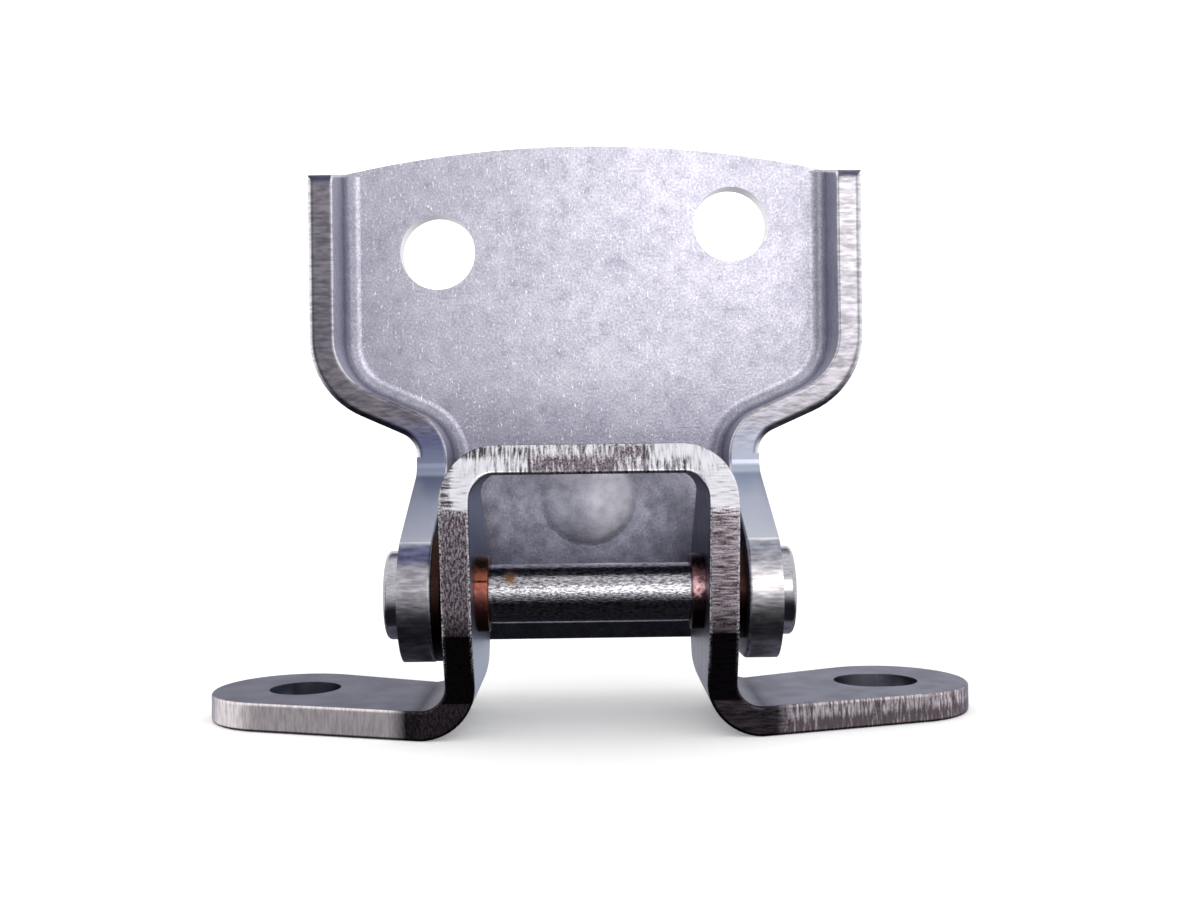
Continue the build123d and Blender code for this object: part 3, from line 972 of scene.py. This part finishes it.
@dataclass
class DoorPlate(SubAssembly):
    """Flanged door plate with its riveted pin and thrust washers."""

    body: Body = Body.DOOR
    finishes: Mapping[str, Finish] = field(default_factory=lambda: {
        "door_leaf": ZincSheet("zinc_plated_rolled_sheet"),
        "hinge_pin": DrawnBar("zinc_plated_drawn_bar"),
        "left_washer": OiledBronze("oil_blackened_bronze", ((0.3, "#120D0D"), (0.65, "#35231F"))),
        "right_washer": OiledBronze("oil_blackened_bronze_right", ((0.3, "#150F0F"), (0.65, "#3B2723"))),
    })


@dataclass
class Studio:
    """White floor and walls, white sky over a dark bench, one soft lamp and the camera."""

    floor_reach: float = 3.0
    floor_drop_mm: float = 0.05
    wall_height: float = 2.0
    card_colour: str = "#F4F4F4"
    card_rough: float = 0.9
    glow_colour: str = "#FFFFFF"
    floor_glow: float = 0.2
    wall_glow: float = 0.5
    sky_stops: Stops = ((0.27, "#26262A"), (0.31, "#8A8A90"), (0.37, "#E4E4E8"), (0.44, "#FFFFFF"))
    front_stops: Stops = (
        (0.27, "#26262A"), (0.33, "#78787E"), (0.42, "#D0D0D4"), (0.50, "#E4E4E8"), (0.60, "#FFFFFF"),
    )
    front_sides: Stops = (
        (0.14, "#8E8E8E"), (0.25, "#F4F4F4"), (0.41, "#FFFFFF"), (0.45, "#B8B8B8"), (0.48, "#C6C6C6"),
        (0.54, "#FFFFFF"), (0.58, "#FFFFFF"), (0.63, "#C0C0C0"), (0.76, "#FFFFFF"),
    )
    front_from: Ends = ((-0.3, -0.7), FULL)
    lamp_at: Point = (0.10, -0.60, 0.21)
    lamp_to: Point = (0.01, 0.0, 0.06)
    lamp_side: float = 0.3
    lamp_watts: float = 0.60
    lamp_colour: str = "#FFFAF6"
    camera_at: Point = (-0.0004, -0.19965, 0.0411)
    camera_yaw: float = 0.64
    camera_roll: float = 0.7
    camera_near: float = 0.01
    focal: float = 38.4
    sensor: float = 36.0

    def card(self, name: str, points: Sequence[Point], faces: Sequence[Sequence[int]], glow: float) -> None:
        """Set up white card; the metal reflects the sky and the dark bench instead of it.

        Args:
            name: the card's name.
            points: its corners.
            faces: the corners of each face.
            glow: how much it shines by itself.
        """
        mesh = bpy.data.meshes.new(name)
        mesh.from_pydata(points, [], faces)
        card = bpy.data.objects.new(name, mesh)
        card.location.z = -self.floor_drop_mm * MM
        card.visible_glossy = False
        bpy.context.scene.collection.objects.link(card)
        white = bpy.data.materials.new("matt_white_card_" + name)
        white.use_nodes = True
        tree = white.node_tree
        tree.nodes.clear()
        links = {
            "Base Color": linear(self.card_colour), "Roughness": self.card_rough, "Specular IOR Level": 0.0,
            "Emission Color": linear(self.glow_colour), "Emission Strength": glow,
        }
        add(tree, Kind.OUTPUT, {"Surface": add(tree, Kind.SURFACE, links)})
        mesh.materials.append(white)

    def floor(self) -> None:
        """Lay the floor under the feet, which keeps the shadow, and stand plain walls far round it."""
        far = self.floor_reach
        low = [(-far, -far, 0.0), (far, -far, 0.0), (far, far, 0.0), (-far, far, 0.0)]
        high = [(x, y, self.wall_height) for x, y, _ in low]
        walls = [(i, i + 4, (i + 1) % 4 + 4, (i + 1) % 4) for i in range(4)]
        self.card("floor", low, [(0, 1, 2, 3)], self.floor_glow)
        self.card("walls", low + high, walls, self.wall_glow)

    def sky(self) -> None:
        """Light the room white all round, dimmer in front at the left and low down, dark as a bench below."""
        world = bpy.data.worlds.new("studio")
        bpy.context.scene.world = world
        world.use_nodes = True
        tree = world.node_tree
        tree.nodes.clear()
        way = add(tree, Kind.SPLIT, {0: add(tree, Kind.COORD).outputs["Generated"]}).outputs
        height = add(tree, Kind.MATH, {0: way[2], 1: 0.5, 2: 0.5}, operation="MULTIPLY_ADD")
        around = add(tree, Kind.RAMP, {0: height}, self.sky_stops)
        ahead = add(tree, Kind.RAMP, {0: height}, self.front_stops)
        front = add(tree, Kind.RANGE, {"Value": way[1], "Ends": self.front_from})
        colour = add(tree, Kind.MIX, {0: front, "A": around, "B": ahead}, data_type="RGBA")
        across = add(tree, Kind.MATH, {0: way[0], 1: 0.5, 2: 0.5}, operation="MULTIPLY_ADD")
        across = add(tree, Kind.RAMP, {0: across}, self.front_sides)
        level = add(tree, Kind.MIX, {0: front, "A": 1.0, "B": across})
        sky = add(tree, Kind.SKY, {"Color": colour, "Strength": level})
        add(tree, Kind.SKY_OUTPUT, {"Surface": sky})

    def lamp(self) -> None:
        """Hang one soft square lamp behind the camera, up on the right."""
        light = bpy.data.lights.new("soft_lamp", "AREA")
        light.size = self.lamp_side
        light.energy = self.lamp_watts
        light.color = linear(self.lamp_colour)[:3]
        lamp = bpy.data.objects.new("soft_lamp", light)
        lamp.location = self.lamp_at
        beam = Vector(self.lamp_to) - Vector(self.lamp_at)
        lamp.rotation_euler = beam.to_track_quat("-Z", "Y").to_euler()
        bpy.context.scene.collection.objects.link(lamp)

    def camera(self) -> None:
        """Set the camera level in front of the hinge, turned and tilted a little as in the photograph."""
        lens = bpy.data.cameras.new("camera")
        lens.sensor_width = self.sensor
        lens.lens = self.focal
        lens.clip_start = self.camera_near
        camera = bpy.data.objects.new("camera", lens)
        turn = Matrix.Rotation(math.radians(-self.camera_yaw), 4, "Z")
        upright = Matrix.Rotation(math.radians(90), 4, "X")
        tilt = Matrix.Rotation(math.radians(-self.camera_roll), 4, "Z")
        camera.matrix_world = Matrix.Translation(self.camera_at) @ turn @ upright @ tilt
        bpy.context.scene.collection.objects.link(camera)
        bpy.context.scene.camera = camera

    def build(self) -> None:
        """Set up the whole studio."""
        self.floor()
        self.sky()
        self.lamp()
        self.camera()
        bpy.context.scene.view_settings.view_transform = "Standard"
        LOG.info("studio ready")


def main() -> None:
    """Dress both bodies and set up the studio."""
    logging.basicConfig(level=logging.INFO, format="%(name)s: %(message)s")
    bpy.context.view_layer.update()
    for assembly in (PillarBracket(), DoorPlate()):
        assembly.dress()
    Studio().build()


if __name__ == "__main__":
    main()
